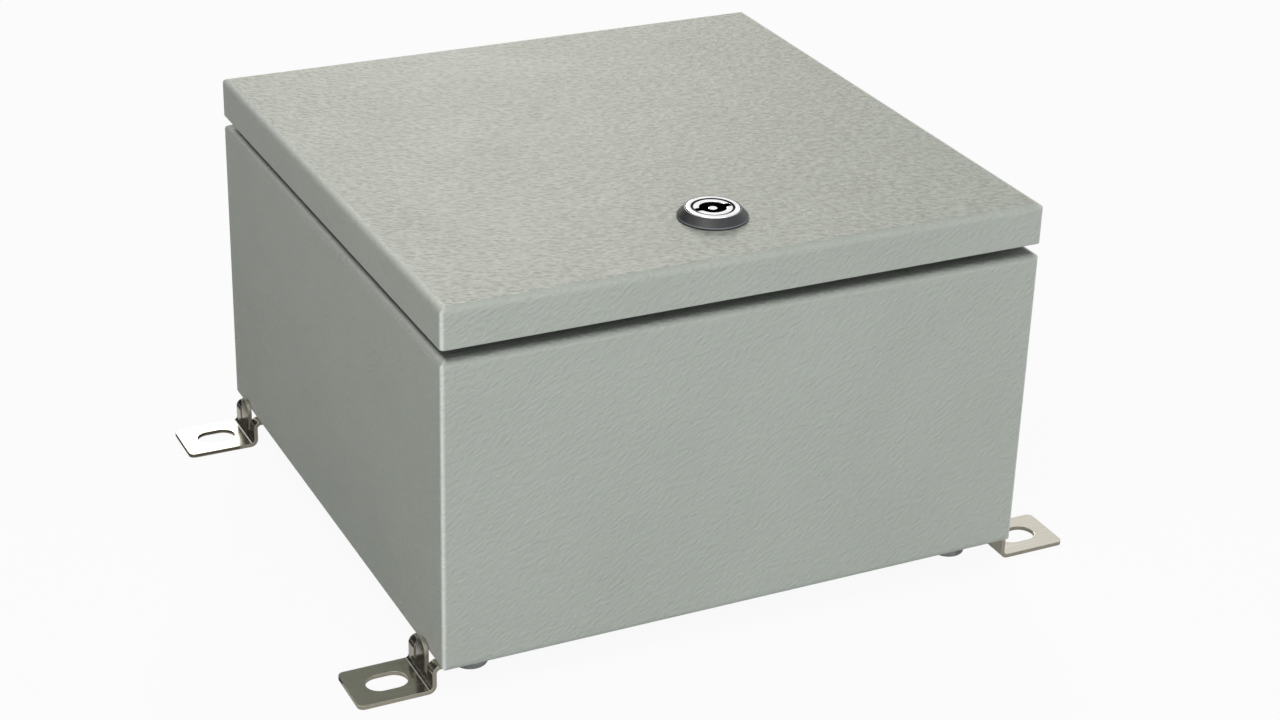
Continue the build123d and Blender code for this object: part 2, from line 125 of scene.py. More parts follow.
# Patches of uneven tone, gloss or height, of a given size, stretch and turn, from 0 to 1. The middle of the
# noise's range is spread over all of that.
uneven_low = 0.3
uneven_high = 0.7
uneven, uneven_in, uneven_out = effect(
    "uneven_finish",
    [
        ("Size", "NodeSocketFloat", 0.01),
        ("Stretch", "NodeSocketVector", (1, 1, 1)),
        ("Turn", "NodeSocketVector", (0, 0, 0)),
        ("Detail", "NodeSocketFloat", 2),
    ],
    "Value",
)
uneven_place = add_node(uneven, "ShaderNodeTexCoord").outputs["Object"]
uneven_drawn = add_node(
    uneven,
    "ShaderNodeMapping",
    {"Vector": uneven_place, "Rotation": uneven_in.outputs["Turn"], "Scale": uneven_in.outputs["Stretch"]},
    vector_type="TEXTURE",
)
uneven_noise = add_node(
    uneven,
    "ShaderNodeTexNoise",
    {
        "Vector": uneven_drawn.outputs[0],
        "Scale": calculate(uneven, "DIVIDE", 1, uneven_in.outputs["Size"]),
        "Detail": uneven_in.outputs["Detail"],
    },
)
uneven_spread = add_node(
    uneven,
    "ShaderNodeMapRange",
    {"Value": uneven_noise.outputs["Fac"], "From Min": uneven_low, "From Max": uneven_high},
)
uneven.links.new(uneven_spread.outputs[0], uneven_out.inputs["Value"])

# Where a folded box turns its edges: 0 on the flats and, along each fold, the share that is given for the folds
# along X, Y and Z. On a level fold the line lies nearer to the flat face above or below it.
folds, folds_in, folds_out = effect(
    "fold_lines",
    [
        ("Centre", "NodeSocketVector", (0, 0, 0)),
        ("Half Size", "NodeSocketVector", (1, 1, 1)),
        ("Fold Radius", "NodeSocketFloat", 0.003),
        ("Corner Radius", "NodeSocketFloat", 0.003),
        ("Shares", "NodeSocketVector", (1, 1, 1)),
    ],
    "Mask",
)
folds_place = add_node(folds, "ShaderNodeTexCoord").outputs["Object"]
folds_offset = add_node(
    folds, "ShaderNodeVectorMath", {0: folds_place, 1: folds_in.outputs["Centre"]}, operation="SUBTRACT"
)
folds_far = add_node(folds, "ShaderNodeVectorMath", {0: folds_offset.outputs[0]}, operation="ABSOLUTE")
folds_over = add_node(
    folds,
    "ShaderNodeVectorMath",
    {0: folds_far.outputs[0], 1: folds_in.outputs["Half Size"]},
    operation="SUBTRACT",
)
folds_axes = add_node(folds, "ShaderNodeSeparateXYZ", {0: folds_over.outputs[0]}).outputs
folds_shares = add_node(folds, "ShaderNodeSeparateXYZ", {0: folds_in.outputs["Shares"]}).outputs
folds_leaning = 3
folds_level_peak = 0.325
folds_level_narrowness = 1
folds_corner_peak = 0.5
folds_corner_narrowness = 2.5


def fold_turn(axis, radius):
    """How far the sheet has turned towards an axis in a fold, from 0 to 1."""
    inward = calculate(folds, "DIVIDE", folds_axes[axis], folds_in.outputs[radius])
    return calculate(folds, "ADD", inward, 1, clamp=True)


def fold_line(first, second, peak, narrowness, share):
    """A line along a fold, from how far the sheet has turned two ways."""
    level = calculate(folds, "DIVIDE", calculate(folds, "MULTIPLY", first, second), peak, clamp=True)
    return calculate(folds, "MULTIPLY", calculate(folds, "POWER", level, narrowness), share)


folds_level = calculate(folds, "POWER", fold_turn(2, "Fold Radius"), folds_leaning)
folds_mask = fold_line(
    fold_turn(0, "Corner Radius"),
    fold_turn(1, "Corner Radius"),
    folds_corner_peak,
    folds_corner_narrowness,
    folds_shares[2],
)
for axis in (0, 1):
    line = fold_line(
        fold_turn(1 - axis, "Fold Radius"), folds_level, folds_level_peak, folds_level_narrowness, folds_shares[axis]
    )
    folds_mask = calculate(folds, "MAXIMUM", folds_mask, line)
folds.links.new(folds_mask, folds_out.inputs["Mask"])


def place_effect(tree, group, **values):
    """An effect placed in a material with its own values; gives its output."""
    made = add_node(tree, "ShaderNodeGroup", node_tree=group)
    for label, value in values.items():
        made.inputs[label.replace("_", " ")].default_value = value
    return made.outputs[0]


def blend_colours(tree, share, low, high):
    """A colour that runs from low to high with share; each is a colour or an output."""
    made = add_node(tree, "ShaderNodeMix", data_type="RGBA")
    tree.links.new(share, made.inputs["Factor"])
    for label, given in (("A", low), ("B", high)):
        socket = [s for s in made.inputs if s.name == label and s.type == "RGBA"][0]
        if isinstance(given, bpy.types.NodeSocket):
            tree.links.new(given, socket)
        else:
            socket.default_value = screen_colour(*given)
    return [s for s in made.outputs if s.type == "RGBA"][0]


def blend_values(tree, share, low, high):
    """A value that runs from low to high as share goes from 0 to 1; each is a value or an output."""
    return add_node(tree, "ShaderNodeMapRange", {"Value": share, "To Min": low, "To Max": high}).outputs[0]


def new_finish(name, metallic):
    """A new material with its node tree and its Principled shader."""
    made = bpy.data.materials.new(name)
    made.use_nodes = True
    shader = made.node_tree.nodes["Principled BSDF"]
    shader.inputs["Metallic"].default_value = metallic
    return made, made.node_tree, shader


def powder_coat(name, low, high, dust_and_shade, dust_and_shade_shares, dust_and_shade_rise):
    """The grey coat of a folded box that reaches from low to high, with a painted highlight along its folds. Dust
    and painted shade lie on the faces that rise so far, with one share on the grain's tops and another in its
    hollows."""
    made, tree, shader = new_finish(name, 0)
    patches = place_effect(tree, uneven, Size=coat_patch)
    drawn = {"Stretch": coat_grain_stretch, "Turn": coat_grain_turn}
    grain = place_effect(tree, uneven, Size=coat_grain, Detail=coat_grain_detail, **drawn)
    fine = place_effect(tree, uneven, Size=coat_fine_grain, Detail=coat_fine_detail, **drawn)
    box = {"Centre": (low + high) / 2, "Half_Size": (high - low) / 2}
    radii = {"Fold_Radius": fold_radius, "Corner_Radius": corner_radius}
    # Painted highlight: a lighter colour along the folds.
    painted_highlight_mask = place_effect(tree, folds, **box, **radii, Shares=painted_fold_highlight_shares)
    bends = place_effect(tree, folds, **box, **radii, Shares=(1, 1, 1))
    height = calculate(tree, "ADD", grain, blend_values(tree, fine, 0, coat_fine_share))
    # Dust and painted shade: a darker colour on the faces that rise so far, most of it in the grain's hollows.
    facing = add_node(tree, "ShaderNodeTexCoord").outputs["Normal"]
    risen = add_node(tree, "ShaderNodeSeparateXYZ", {0: facing}).outputs["Z"]
    upper = add_node(tree, "ShaderNodeMapRange", {"Value": risen, "From Min": dust_and_shade_rise, "From Max": 1}).outputs[0]
    sunk = add_node(
        tree, "ShaderNodeMapRange", {"Value": height, "From Max": 1 + coat_fine_share, "To Min": 1, "To Max": 0}
    ).outputs[0]
    hollows = calculate(tree, "POWER", sunk, dust_and_shade_narrowness)
    dust_and_shade_mask = calculate(tree, "MULTIPLY", upper, blend_values(tree, hollows, *dust_and_shade_shares))
    colour = blend_colours(tree, patches, coat_dark, coat_light)
    colour = blend_colours(tree, dust_and_shade_mask, colour, dust_and_shade)
    tree.links.new(blend_colours(tree, painted_highlight_mask, colour, painted_fold_highlight), shader.inputs["Base Color"])
    gloss = blend_values(tree, patches, *coat_roughness)
    tree.links.new(blend_values(tree, bends, gloss, coat_fold_roughness), shader.inputs["Roughness"])
    bump = add_node(tree, "ShaderNodeBump", {"Height": height, "Distance": coat_relief})
    tree.links.new(bump.outputs[0], shader.inputs["Normal"])
    return made


def wear(finish, *node_names):
    """Gives CAD nodes their finish."""
    for name in node_names:
        nodes[name].data.materials.clear()
        nodes[name].data.materials.append(finish)


body_low, body_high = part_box("body_shell")
body_top = Vector((body_high.x, body_high.y, shelf_height))
body_coat = powder_coat("body_coat", body_low, body_top, painted_shelf_shade, painted_shelf_shade_shares, painted_shelf_shade_rise)
wear(body_coat, "body_shell")


# Wall brackets: strips of 2 mm stainless steel, stamped and bent to a Z, with a slot for the wall bolt and
# a tab left upright beside the box. The rolled sheet is left bright, with a faint grain along the strip,
# and its stamped edges are dull and darker.
stainless_dark = (188, 184, 171)
stainless_light = (210, 206, 194)
stainless_cut = (168, 161, 149)
stainless_grain = (0.06, 0.0005, 0.06)
stainless_roughness = (0.14, 0.26)
stainless_cut_roughness = 0.5
stainless_relief = 0.000006
stainless_edge = 0.0003
stainless_burr = 0.0014
foot_edge_rise = 0.3
strip_edge_turn = 0.6
metal_detail = 3
edge_samples = 6


def metal_finish(name, dark, light, size, stretch, roughness, relief, edge):
    """A bare metal whose tone and gloss wander over patches or streaks, with eased edges."""
    made, tree, shader = new_finish(name, 1)
    streaks = place_effect(tree, uneven, Size=size, Stretch=stretch, Detail=metal_detail)
    tree.links.new(blend_colours(tree, streaks, dark, light), shader.inputs["Base Color"])
    tree.links.new(blend_values(tree, streaks, *roughness), shader.inputs["Roughness"])
    eased_edge = add_node(tree, "ShaderNodeBevel", {"Radius": edge}, samples=edge_samples)
    bump = add_node(
        tree, "ShaderNodeBump", {"Height": streaks, "Distance": relief, "Normal": eased_edge.outputs[0]}
    )
    tree.links.new(bump.outputs[0], shader.inputs["Normal"])
    return made


def lay_over(finish, share, colour, roughness):
    """Puts another colour and gloss over a finish where share is 1."""
    tree = finish.node_tree
    shader = tree.nodes["Principled BSDF"]
    below = {label: shader.inputs[label].links[0].from_socket for label in ("Base Color", "Roughness")}
    tree.links.new(blend_colours(tree, share, below["Base Color"], colour), shader.inputs["Base Color"])
    tree.links.new(blend_values(tree, share, below["Roughness"], roughness), shader.inputs["Roughness"])


stainless = metal_finish(
    "rolled_stainless",
    dark=stainless_dark,
    light=stainless_light,
    size=1,
    stretch=stainless_grain,
    roughness=stainless_roughness,
    relief=stainless_relief,
    edge=stainless_edge,
)
stainless_tree = stainless.node_tree
stainless_place = add_node(stainless_tree, "ShaderNodeTexCoord")
steel_facing = add_node(stainless_tree, "ShaderNodeSeparateXYZ", {0: stainless_place.outputs["Normal"]}).outputs
steel_spot = add_node(stainless_tree, "ShaderNodeSeparateXYZ", {0: stainless_place.outputs["Object"]}).outputs
sideways = calculate(stainless_tree, "ABSOLUTE", steel_facing["Y"], 0)
rising = calculate(stainless_tree, "ABSOLUTE", steel_facing["Z"], 0)
upright = calculate(stainless_tree, "LESS_THAN", rising, foot_edge_rise)
in_foot = calculate(stainless_tree, "LESS_THAN", steel_spot["Z"], stainless_burr)
stamped = calculate(
    stainless_tree,
    "MAXIMUM",
    calculate(stainless_tree, "GREATER_THAN", sideways, strip_edge_turn),
    calculate(stainless_tree, "MULTIPLY", upright, in_foot),
)
lay_over(stainless, stamped, stainless_cut, stainless_cut_roughness)
wear(stainless, "bracket_front_left", "bracket_front_right", "bracket_rear_left", "bracket_rear_right")


# Bracket bolts: M10 cheese-headed socket bolts put in from the wall side, one through each bracket into the
# box. They are turned from steel bar, the thread is rolled, and they are zinc plated.
bolt_head_radius = 0.0082
bolt_head_height = 0.0092
bolt_head_ease = 0.0008
bolt_radius = 0.005
bolt_pitch = 0.0015
bolt_socket_flats = 0.008
bolt_socket_depth = 0.004
bolt_socket_bevel = 0.0006
bolt_thread_start = 0.0165
zinc_dark = (140, 142, 142)
zinc_light = (178, 180, 180)
zinc_patch = 0.0035
zinc_roughness = (0.28, 0.42)
zinc_relief = 0.000008
zinc_edge = 0.0003
thread_depth_share = 0.61
turned_steps = 48
sharp_turn = math.radians(34)


def hexagon(flats):
    """The reach of a hexagon at an angle, from its width across flats."""

    def reach(angle, height):
        from_flat = (angle + math.pi / 6) % (math.pi / 3) - math.pi / 6
        return flats / 2 / math.cos(from_flat)

    return reach


def threaded(radius, pitch, start, end):
    """Stations of a screw thread from one height to another, with a plain bevel at its end."""
    depth = pitch * thread_depth_share
    way = 1 if end > start else -1

    def reach(angle, height):
        turn = (height / pitch - angle / math.tau) % 1
        return radius - depth * (1 - abs(2 * turn - 1))

    stations_per_turn = 6
    step = way * pitch / stations_per_turn
    count = int(abs(end - start) / abs(step)) - stations_per_turn // 2
    stations = [(radius - depth, start)]
    stations += [(reach, start + step * index) for index in range(1, count)]
    return stations + [(radius - depth / 2, end - way * depth / 2), (radius - depth, end)]


def eased(corners):
    """An outline with its corners rounded off; each is a radius, a height and an easing."""
    arc_steps = 5
    outline = []
    for index, (radius, height, ease) in enumerate(corners):
        here = Vector((radius, height))
        if not ease:
            outline.append((radius, height))
            continue
        back = (Vector(corners[index - 1][:2]) - here).normalized()
        on = (Vector(corners[(index + 1) % len(corners)][:2]) - here).normalized()
        half = back.angle(on) / 2
        middle = here + (back + on).normalized() * (ease / math.sin(half))
        start = here + back * (ease / math.tan(half)) - middle
        end = here + on * (ease / math.tan(half)) - middle
        for step in range(arc_steps + 1):
            point = middle + start.lerp(end, step / arc_steps).normalized() * ease
            outline.append((point.x, point.y))
    return outline


def new_piece(name, shape):
    """A mesh object from a finished bmesh, smooth but for its corners."""
    bmesh.ops.recalc_face_normals(shape, faces=shape.faces)
    mesh = bpy.data.meshes.new(name)
    shape.to_mesh(mesh)
    shape.free()
    mesh.shade_smooth()
    mesh.set_sharp_from_angle(angle=sharp_turn)
    piece = bpy.data.objects.new(name, mesh)
    bpy.context.scene.collection.objects.link(piece)
    return piece


def turned(name, outline, places, hollow=False):
    """Like pieces turned about upright axes: the outline is pairs of radius and height, where a radius may be
    a function of angle and height. A hollow outline closes on itself; a solid one is capped at both ends."""
    shape = bmesh.new()
    angles = [math.tau * step / turned_steps for step in range(turned_steps)]
    for x, y in places:
        rings = []
        for radius, height in outline:
            reaches = [radius(angle, height) if callable(radius) else radius for angle in angles]
            rings.append([
                shape.verts.new((x + reach * math.cos(angle), y + reach * math.sin(angle), height))
                for reach, angle in zip(reaches, angles)
            ])
        if hollow:
            rings.append(rings[0])
        else:
            shape.faces.new(rings[0])
            shape.faces.new(rings[-1])
        for first, second in zip(rings, rings[1:]):
            for step in range(turned_steps):
                before = step - 1
                shape.faces.new((first[before], first[step], second[step], second[before]))
    return new_piece(name, shape)


def four_axes(node, radius):
    """Where the axes of four like round pieces stand, from their node's box and the radius of each."""
    low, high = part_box(node)
    return [(x, y) for x in (low.x + radius, high.x - radius) for y in (low.y + radius, high.y - radius)]


def one_axis(node):
    """Where the axis of one round piece stands, from its node's box."""
    low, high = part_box(node)
    return [((low.x + high.x) / 2, (low.y + high.y) / 2)]


def put_in_place(piece, finish, slot, body, *node_names):
    """Gives a piece its finish, and its place in the part instead of CAD nodes."""
    piece.data.materials.append(finish)
    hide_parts(*node_names)
    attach(piece, body)


zinc = metal_finish(
    "zinc_plating", zinc_dark, zinc_light, zinc_patch, (1, 1, 1), zinc_roughness, zinc_relief, zinc_edge
)
bolts_low, bolts_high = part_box("bracket_bolts")
bolt_under_head = bolts_low.z + bolt_head_height
bolt_outline = [
    (hexagon(bolt_socket_flats), bolts_low.z + bolt_socket_depth),
    (hexagon(bolt_socket_flats), bolts_low.z + bolt_socket_bevel),
    (bolt_socket_flats / math.sqrt(3) + bolt_socket_bevel, bolts_low.z),
]
bolt_outline += eased([
    (bolt_socket_flats / 2, bolts_low.z, 0),
    (bolt_head_radius, bolts_low.z, bolt_head_ease),
    (bolt_head_radius, bolt_under_head, 0),
    (bolt_radius, bolt_under_head, 0),
    (bolt_radius, bolt_thread_start, 0),
])[1:]
bolt_outline += threaded(bolt_radius, bolt_pitch, bolt_thread_start, bolts_high.z)
bolts = turned("socket_bolts", bolt_outline, four_axes("bracket_bolts", bolt_head_radius))
put_in_place(bolts, zinc, "zinc_plated_steel", "cabinet", "bracket_bolts")


# Bracket seals: rubber washers under the nuts, which keep water out of the bolt holes. They are punched from
# sheet, and the nut has squeezed their edges out a little.
seal_radius = 0.011
seal_bore = 0.00525
seal_ease = 0.0007
rubber_dark = (24, 24, 25)
rubber_light = (40, 40, 41)
rubber_patch = 0.003
rubber_roughness = (0.55, 0.75)
rubber_relief = 0.00003
moulded_detail = 3


def moulded_finish(name, dark, light, size, roughness, relief):
    """Rubber, foam or plastic whose tone, gloss and surface wander over small patches."""
    made, tree, shader = new_finish(name, 0)
    patches = place_effect(tree, uneven, Size=size, Detail=moulded_detail)
    tree.links.new(blend_colours(tree, patches, dark, light), shader.inputs["Base Color"])
    tree.links.new(blend_values(tree, patches, *roughness), shader.inputs["Roughness"])
    bump = add_node(tree, "ShaderNodeBump", {"Height": patches, "Distance": relief})
    tree.links.new(bump.outputs[0], shader.inputs["Normal"])
    return made


def flat_ring(radius, bore, low, high, ease):
    """The closed outline of a ring with rounded outer and inner edges."""
    return eased([(bore, low, ease), (radius, low, ease), (radius, high, ease), (bore, high, ease)])


rubber = moulded_finish("seal_rubber", rubber_dark, rubber_light, rubber_patch, rubber_roughness, rubber_relief)
seals_low, seals_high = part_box("bracket_seals")
seals = turned(
    "bolt_seals",
    flat_ring(seal_radius, seal_bore, seals_low.z, seals_high.z, seal_ease),
    four_axes("bracket_seals", seal_radius),
    hollow=True,
)
put_in_place(seals, rubber, "seal_rubber", "cabinet", "bracket_seals")


# Bracket nuts: hexagon nuts of zinc-plated steel, bevelled on both sides, one on each bolt inside the box.
# They pull the brackets against the back through the rubber seals.
wear(zinc, "bracket_nuts")


# Mounting plate: 2 mm hot-dip galvanised sheet with cut-off corners, which carries the equipment.
# The zinc has frozen in flat crystals a few millimetres wide, each with its own tone.
galvanised_dark = (150, 155, 158)
galvanised_light = (192, 196, 198)
galvanised_crystal = 0.011
galvanised_roughness = (0.30, 0.46)
galvanised_relief = 0.000012

galvanised, galvanised_tree, galvanised_shader = new_finish("galvanised_sheet", 1)
crystals = add_node(galvanised_tree, "ShaderNodeTexVoronoi", {"Scale": 1 / galvanised_crystal})
galvanised_place = add_node(galvanised_tree, "ShaderNodeTexCoord").outputs["Object"]
galvanised_tree.links.new(galvanised_place, crystals.inputs["Vector"])
crystal_tones = add_node(galvanised_tree, "ShaderNodeSeparateColor", {0: crystals.outputs["Color"]}).outputs
galvanised_colour = blend_colours(galvanised_tree, crystal_tones[0], galvanised_dark, galvanised_light)
galvanised_tree.links.new(galvanised_colour, galvanised_shader.inputs["Base Color"])
galvanised_gloss = blend_values(galvanised_tree, crystal_tones[1], *galvanised_roughness)
galvanised_tree.links.new(galvanised_gloss, galvanised_shader.inputs["Roughness"])
galvanised_bump = add_node(
    galvanised_tree, "ShaderNodeBump", {"Height": crystals.outputs["Distance"], "Distance": galvanised_relief}
)
galvanised_tree.links.new(galvanised_bump.outputs[0], galvanised_shader.inputs["Normal"])
wear(galvanised, "mounting_plate")


# Plate studs: M8 steel studs, each welded to the back of the box by a collar at its foot. Tubular spacers,
# washers and hexagon nuts on them hold the mounting plate, all zinc plated.
stud_radius = 0.004
stud_pitch = 0.00125
stud_collar_radius = 0.0055
stud_collar_height = 0.001
stud_collar_ease = 0.0004
stud_plain = 0.004


def welded_stud(name, node, places, foot, tip, radius, pitch, collar_radius, collar_height, plain, body):
    """Threaded studs that stand on a welded collar, from a foot height to a tip height."""
    way = 1 if tip > foot else -1
    outline = eased([
        (collar_radius, foot, 0),
        (collar_radius, foot + way * collar_height, stud_collar_ease),
        (radius, foot + way * collar_height, 0),
        (radius, foot + way * plain, 0),
    ])
    studs = turned(name, outline + threaded(radius, pitch, foot + way * plain, tip), places)
    put_in_place(studs, zinc, "zinc_plated_steel", body, node)


studs_low, studs_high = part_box("plate_studs")
welded_stud(
    "threaded_plate_studs",
    "plate_studs",
    places=four_axes("plate_studs", stud_collar_radius),
    foot=studs_low.z,
    tip=studs_high.z,
    radius=stud_radius,
    pitch=stud_pitch,
    collar_radius=stud_collar_radius,
    collar_height=stud_collar_height,
    plain=stud_plain,
    body="cabinet",
)
wear(zinc, "plate_spacers", "plate_washers", "plate_nuts")


# Body earthing point: an M6 stud welded to the back near the hinge side, with a washer and a nut for the
# earth lead, zinc plated.
earth_radius = 0.003
earth_pitch = 0.001
earth_collar_radius = 0.0045
earth_collar_height = 0.0008
earth_plain = 0.0015

body_earth_low, body_earth_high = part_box("body_earth_stud")
welded_stud(
    "threaded_body_earth_stud",
    "body_earth_stud",
    places=one_axis("body_earth_stud"),
    foot=body_earth_low.z,
    tip=body_earth_high.z,
    radius=earth_radius,
    pitch=earth_pitch,
    collar_radius=earth_collar_radius,
    collar_height=earth_collar_height,
    plain=earth_plain,
    body="cabinet",
)
wear(zinc, "body_earth_washer", "body_earth_nut")


# Hinges: concealed between the lip and the door's skirt. The body leaves are riveted to the lip and the door
# leaves are spot welded under the door, with a steel pin through their knuckles, all zinc plated.
weld_radius = 0.0026
weld_rise = 0.0002
weld_spacing = 0.009
weld_inset = 0.0043
weld_profile = ((1, 1), (1, 0), (0.82, -1), (0.62, -1), (0.45, -1 / 3))
leaf_sheet = 0.002

wear(
    zinc,
    "body_hinge_leaf_left",
    "body_hinge_leaf_right",
    "door_hinge_leaf_left",
    "door_hinge_leaf_right",
    "hinge_pin_left",
    "hinge_pin_right",
    "hinge_rivets",
)
weld_places = []
for side in ("left", "right"):
    leaf_low, leaf_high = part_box("door_hinge_leaf_" + side)
    leaf_middle = (leaf_low.x + leaf_high.x) / 2
    weld_places += [(leaf_middle + sign * weld_spacing / 2, leaf_high.y - weld_inset) for sign in (-1, 1)]
weld_height = leaf_high.z - leaf_sheet
welds = turned(
    "hinge_weld_spots",
    [(weld_radius * reach, weld_height + weld_rise * rise) for reach, rise in weld_profile],
    weld_places,
)
welds.data.materials.append(zinc)
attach(welds, "door")


# Door: one pan of 1.5 mm sheet steel with its skirt folded down, its corners welded and ground, coated like
# the body with its painted fold highlight, and with dust and painted shade in the hollows of the grain of its
# face. A round hole near the front edge takes the lock.
# Dust and painted shade darken the hollows of the grain on the door's upward face.
door_dust_and_shade = (140, 142, 132)
door_dust_and_shade_shares = (0, 1)
door_dust_and_shade_rise = 0.9

door_low, door_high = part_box("door_panel")
door_foot = Vector((door_low.x, door_low.y, body_low.z))
wear(powder_coat("door_coat", door_foot, door_high, door_dust_and_shade, door_dust_and_shade_shares, door_dust_and_shade_rise), "door_panel")


# Door gasket: a bead of soft polyurethane foam, laid under the door by a nozzle and cured there, so its width
# wanders a little. The lip of the body has pressed a shallow line along it.
foam_dark = (34, 34, 35)
foam_light = (54, 54, 55)
foam_pore = 0.0007
foam_roughness = (0.80, 0.95)
foam_relief = 0.00008
bead_half_width = 0.0055
bead_corner = 0.0078
bead_squareness = 0.55
bead_line_depth = 0.0009
bead_line_width = 0.0011
bead_wander = 0.035
bead_wander_middle = 0.5
bead_waves = ((0.3, 23, 0), (0.2, 61, 1))
bead_run_steps = 44
bead_corner_steps = 10
bead_section_steps = 22


def bead_path(half_x, half_y, corner):
    """Places along a rounded rectangle, each with its outward direction."""
    path = []
    turns = [(1, -1), (1, 1), (-1, 1), (-1, -1)]
    for index, (sign_x, sign_y) in enumerate(turns):
        centre = Vector((sign_x * (half_x - corner), sign_y * (half_y - corner)))
        start = math.pi / 2 * (index - 1)
        for step in range(bead_corner_steps + 1):
            angle = start + math.pi / 2 * step / bead_corner_steps
            outward = Vector((math.cos(angle), math.sin(angle)))
            path.append((centre + outward * corner, outward))
        next_x, next_y = turns[(index + 1) % len(turns)]
        next_centre = Vector((next_x * (half_x - corner), next_y * (half_y - corner)))
        for step in range(1, bead_run_steps):
            path.append((path[-step][0] + (next_centre - centre) * step / bead_run_steps, outward))
    return path


foam = moulded_finish("gasket_foam", foam_dark, foam_light, foam_pore, foam_roughness, foam_relief)
gasket_low, gasket_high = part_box("door_gasket")
bead_height = gasket_high.z - gasket_low.z
bead_shape = bmesh.new()
bead_rings = []
bead_places = bead_path(gasket_high.x - bead_half_width, gasket_high.y - bead_half_width, bead_corner)
for index, (place, outward) in enumerate(bead_places):
    round_share = math.tau * index / len(bead_places)
    waves = [size * math.sin(count * round_share + start) for size, count, start in bead_waves]
    fullness = 1 - bead_wander * (bead_wander_middle + sum(waves))
    ring = []
    for step in range(bead_section_steps + 1):
        angle = math.pi * step / bead_section_steps
        across = math.copysign(abs(math.cos(angle)) ** bead_squareness, math.cos(angle)) * bead_half_width * fullness
        depth = math.sin(angle) ** bead_squareness * bead_height * fullness if 0 < step < bead_section_steps else 0
        depth -= bead_line_depth * math.exp(-((across / bead_line_width) ** 2)) * math.sin(angle)
        spot_on_ring = place + outward * across
        ring.append(bead_shape.verts.new((spot_on_ring.x, spot_on_ring.y, gasket_high.z - depth)))
    bead_rings.append(ring)
for index, ring in enumerate(bead_rings):
    before = bead_rings[index - 1]
    for step in range(len(ring)):
        bead_shape.faces.new((before[step - 1], before[step], ring[step], ring[step - 1]))
bead = new_piece("foam_gasket", bead_shape)
put_in_place(bead, foam, "gasket_foam", "door", "door_gasket")


# Door earthing point: an M6 stud welded under the door near the hinges, with a washer and a nut for the
# lead that bonds the door to the body, zinc plated.
door_earth_low, door_earth_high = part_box("door_earth_stud")
welded_stud(
    "threaded_door_earth_stud",
    "door_earth_stud",
    places=one_axis("door_earth_stud"),
    foot=door_earth_high.z,
    tip=door_earth_low.z,
    radius=earth_radius,
    pitch=earth_pitch,
    collar_radius=earth_collar_radius,
    collar_height=earth_collar_height,
    plain=earth_plain,
    body="door",
)
wear(zinc, "door_earth_washer", "door_earth_nut")


# Lock seal and bezel: a flat rubber ring on the door's face, and over it a cone-shaped collar moulded in black
# plastic with a satin face, with a painted highlight on a thin band round its rim. The lock's bright flange
# clamps both to the door.
lock_seal_radius = 0.0153
lock_seal_bore = 0.0112
lock_seal_ease = 0.0003
bezel_radius = 0.0165
bezel_seal_radius = 0.0155
bezel_rim_height = 0.001
bezel_seal_height = 0.001
bezel_floor_height = 0.0022
bezel_top_radius = 0.0127
bezel_top_land = 0.0005
bezel_bore = 0.0112
bezel_ease = 0.000175
bezel_rim_ease = 0.0005
plastic_dark = (34, 35, 37)
plastic_light = (44, 45, 47)
plastic_grain = 0.0006
plastic_roughness = (0.40, 0.46)
plastic_relief = 0.000012
painted_rim_highlight = (122, 124, 130)
rim_highlight_roughness = 0.3
rim_highlight_width = 0.0004

lock_axis = one_axis("lock_bezel")
lock_seal_low, lock_seal_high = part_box("lock_seal")
lock_ring = turned(
    "lock_seal_ring",
    flat_ring(lock_seal_radius, lock_seal_bore, lock_seal_low.z, lock_seal_high.z, lock_seal_ease),
    lock_axis,
    hollow=True,
)
put_in_place(lock_ring, rubber, "seal_rubber", "door", "lock_seal")

plastic = moulded_finish(
    "satin_black_plastic", plastic_dark, plastic_light, plastic_grain, plastic_roughness, plastic_relief
)
bezel_low, bezel_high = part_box("lock_bezel")
plastic_tree = plastic.node_tree
# Painted highlight: a lighter, glossier band at the height of the collar's rim.
bezel_place = add_node(plastic_tree, "ShaderNodeTexCoord").outputs["Object"]
bezel_height = add_node(plastic_tree, "ShaderNodeSeparateXYZ", {0: bezel_place}).outputs["Z"]
from_rim = calculate(plastic_tree, "SUBTRACT", bezel_height, bezel_low.z + bezel_rim_height)
rim_highlight_mask = add_node(
    plastic_tree,
    "ShaderNodeMapRange",
    {"Value": calculate(plastic_tree, "ABSOLUTE", from_rim, 0), "From Max": rim_highlight_width, "To Min": 1, "To Max": 0},
).outputs[0]
lay_over(plastic, rim_highlight_mask, painted_rim_highlight, rim_highlight_roughness)
bezel = turned(
    "lock_collar",
    eased([
        (bezel_seal_radius, bezel_low.z, 0),
        (bezel_radius, bezel_low.z, bezel_ease),
        (bezel_radius, bezel_low.z + bezel_rim_height, bezel_rim_ease),
        (bezel_top_radius + bezel_top_land, bezel_high.z, bezel_ease),
        (bezel_top_radius, bezel_high.z, 0),
        (bezel_top_radius, bezel_low.z + bezel_floor_height, 0),
        (bezel_bore, bezel_low.z + bezel_floor_height, 0),
        (bezel_bore, bezel_low.z + bezel_seal_height, 0),
        (bezel_seal_radius, bezel_low.z + bezel_seal_height, 0),
    ]),
    lock_axis,
    hollow=True,
)
put_in_place(bezel, plastic, "black_plastic", "door", "lock_bezel")


